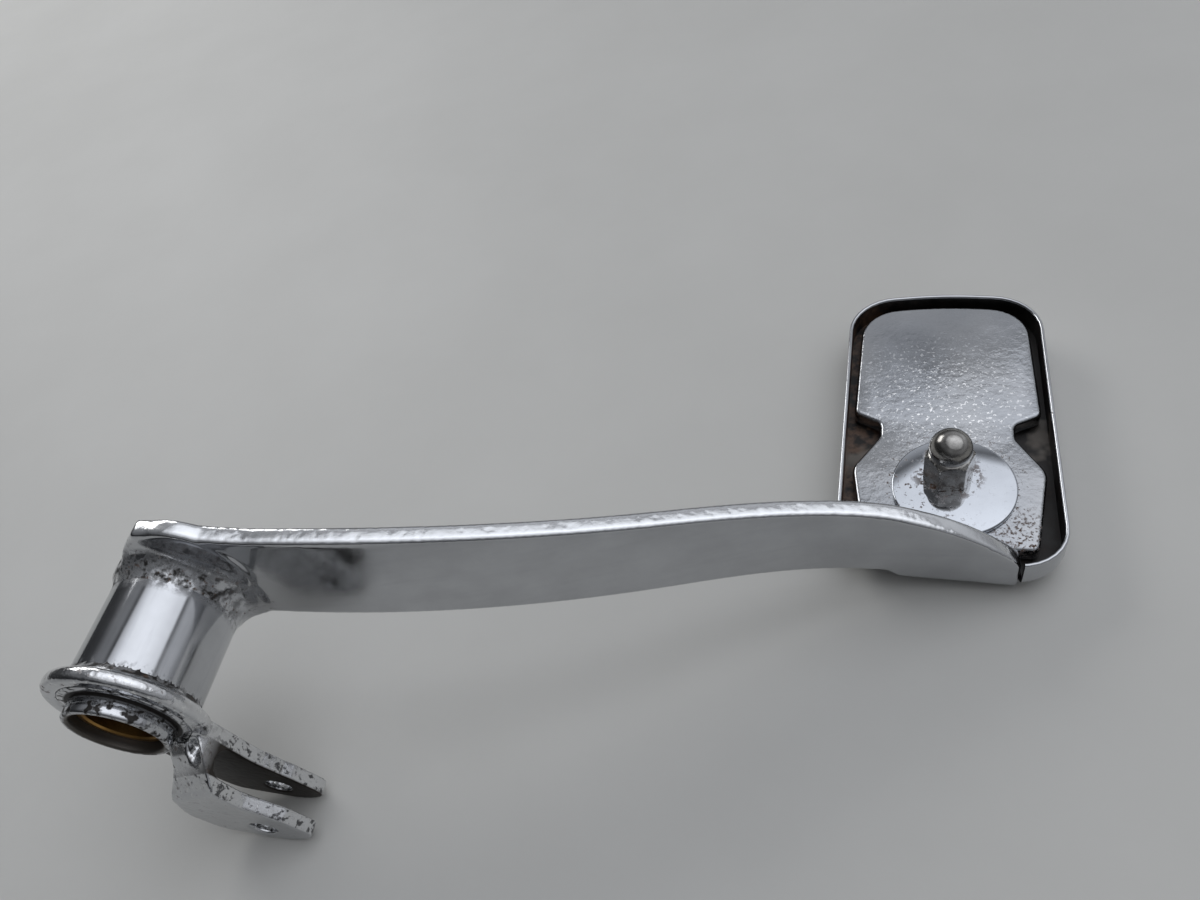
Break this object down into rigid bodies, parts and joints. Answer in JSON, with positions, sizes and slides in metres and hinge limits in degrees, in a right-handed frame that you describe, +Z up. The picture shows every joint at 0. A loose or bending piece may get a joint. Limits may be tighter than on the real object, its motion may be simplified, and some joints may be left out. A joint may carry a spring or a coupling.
{
  "type": "motorcycle brake pedal",
  "caption": "Chromed brake pedal with a pivot tube, a forked lever, a curved flat arm and a large oblong foot pad held by a dome nut.",
  "frame": {"origin": "middle of the pivot bore, on its axis", "axes": "+X from the pivot to the pad, +Y along the pivot axis towards the arm's end of the tube, +Z up as the pedal lies, out of the back of the pad"},
  "size_m": [0.2643, 0.1915, 0.0832],
  "materials": {
    "chrome": "polished",
    "tarnished_steel": "dull",
    "bronze": "greased",
    "pad_rubber": "matt",
    "black_steel": "satin"
  },
  "bodies": {
    "root": {"pivot_tube": "chrome", "fork_lever": "chrome", "arm": "chrome", "foot_plate": "chrome", "near_bush": "bronze", "far_bush": "bronze", "pad_cover": "chrome", "backing_plate": "black_steel", "rubber_pad": "pad_rubber", "pad_stud": "tarnished_steel", "large_washer": "chrome", "dome_nut": "tarnished_steel"}
  },
  "joints": []
}
